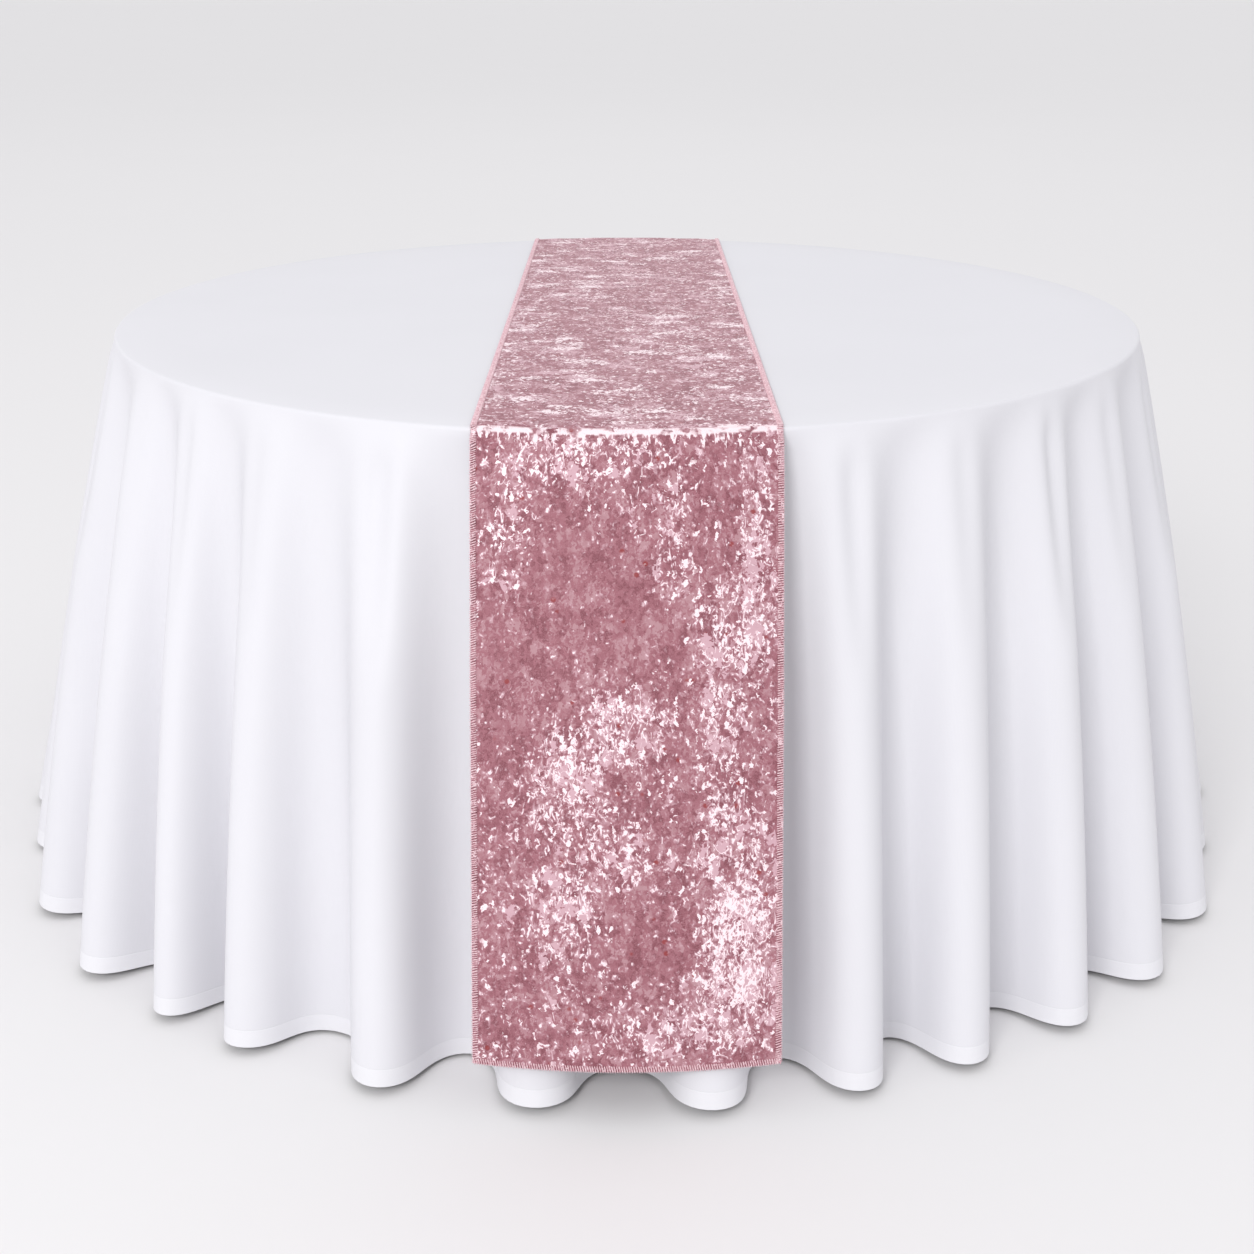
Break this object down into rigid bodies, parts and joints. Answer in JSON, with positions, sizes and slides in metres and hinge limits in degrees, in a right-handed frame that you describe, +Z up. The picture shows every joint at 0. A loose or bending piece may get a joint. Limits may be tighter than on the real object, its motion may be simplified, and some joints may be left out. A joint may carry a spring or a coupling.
{
  "type": "dressed round folding table",
  "caption": "Round folding banquet table dressed with a floor-length draped round tablecloth and a velvet runner that hangs down front and back.",
  "frame": {"origin": "on the floor under the middle of the table top", "axes": "+Z up; the runner lies along Y, its front end at -Y; the leg frames stand at -X and +X"},
  "size_m": [1.9302, 1.9382, 0.7598],
  "materials": {
    "plywood": "clear-coated plywood",
    "edge_vinyl": "matt vinyl edge band",
    "batten_wood": "sanded softwood",
    "painted_steel": "satin powder coat",
    "zinc_steel": "zinc plated",
    "glide_plastic": "matt non-marking",
    "white_cloth": "smooth white polyester, slight satin sheen",
    "rose_velvet": "dusty-rose crushed velvet",
    "pink_thread": "pink overlock thread"
  },
  "bodies": {
    "table": {"table_top_panel": "plywood", "table_edge_band": "edge_vinyl", "batten_front": "batten_wood", "batten_back": "batten_wood", "spacer_front": "batten_wood", "spacer_back": "batten_wood", "left_saddle_front": "zinc_steel", "left_saddle_back": "zinc_steel", "right_saddle_front": "zinc_steel", "right_saddle_back": "zinc_steel", "left_brace_anchor": "zinc_steel", "right_brace_anchor": "zinc_steel", "left_anchor_pin": "zinc_steel", "right_anchor_pin": "zinc_steel"},
    "left_leg_frame": {"left_leg_bow": "painted_steel", "left_stretcher": "painted_steel", "left_brace_lug": "painted_steel", "left_lug_pin": "zinc_steel", "left_glide_front": "glide_plastic", "left_glide_back": "glide_plastic"},
    "right_leg_frame": {"right_leg_bow": "painted_steel", "right_stretcher": "painted_steel", "right_brace_lug": "painted_steel", "right_lug_pin": "zinc_steel", "right_glide_front": "glide_plastic", "right_glide_back": "glide_plastic"},
    "left_brace_upper": {"left_upper_link": "zinc_steel", "left_knee_rivet": "zinc_steel"},
    "left_brace_lower": {"left_lower_link": "zinc_steel"},
    "right_brace_upper": {"right_upper_link": "zinc_steel", "right_knee_rivet": "zinc_steel"},
    "right_brace_lower": {"right_lower_link": "zinc_steel"},
    "cloth": {"tablecloth": "white_cloth"},
    "runner": {"runner_panel": "rose_velvet", "runner_overlock_edge": "pink_thread"}
  },
  "joints": [
    {"name": "left_leg_fold", "type": "hinge", "parent": "table", "child": "left_leg_frame", "pos_m": [-0.42, 0, 0.7011], "axis": [0, -1, 0], "range_deg": [0, 90]},
    {"name": "right_leg_fold", "type": "hinge", "parent": "table", "child": "right_leg_frame", "pos_m": [0.42, 0, 0.6678], "axis": [0, 1, 0], "range_deg": [0, 90]},
    {"name": "left_brace_upper_swing", "type": "hinge", "parent": "table", "child": "left_brace_upper", "pos_m": [-0.14, 0.05, 0.7177], "axis": [0, -1, 0], "range_deg": [-36, 0]},
    {"name": "left_brace_lower_swing", "type": "hinge", "parent": "left_leg_frame", "child": "left_brace_lower", "pos_m": [-0.42698, 0.05, 0.50122], "axis": [0, -1, 0], "range_deg": [0, 43]},
    {"name": "right_brace_upper_swing", "type": "hinge", "parent": "table", "child": "right_brace_upper", "pos_m": [0.14, -0.05, 0.6844], "axis": [0, 1, 0], "range_deg": [-36, 0]},
    {"name": "right_brace_lower_swing", "type": "hinge", "parent": "right_leg_frame", "child": "right_brace_lower", "pos_m": [0.42698, -0.05, 0.46792], "axis": [0, 1, 0], "range_deg": [0, 43]},
    {"name": "cloth_lift", "type": "slide", "parent": "table", "child": "cloth", "axis": [0, 0, 1], "range_m": [0, 0.8]},
    {"name": "runner_lift", "type": "slide", "parent": "cloth", "child": "runner", "axis": [0, 0, 1], "range_m": [0, 0.76]}
  ],
  "couplings": [
    {"joint": "left_brace_upper_swing", "follows": "left_leg_fold", "ratio": -0.38411},
    {"joint": "left_brace_lower_swing", "follows": "left_leg_fold", "ratio": 0.45967},
    {"joint": "right_brace_upper_swing", "follows": "right_leg_fold", "ratio": -0.38411},
    {"joint": "right_brace_lower_swing", "follows": "right_leg_fold", "ratio": 0.45967}
  ]
}
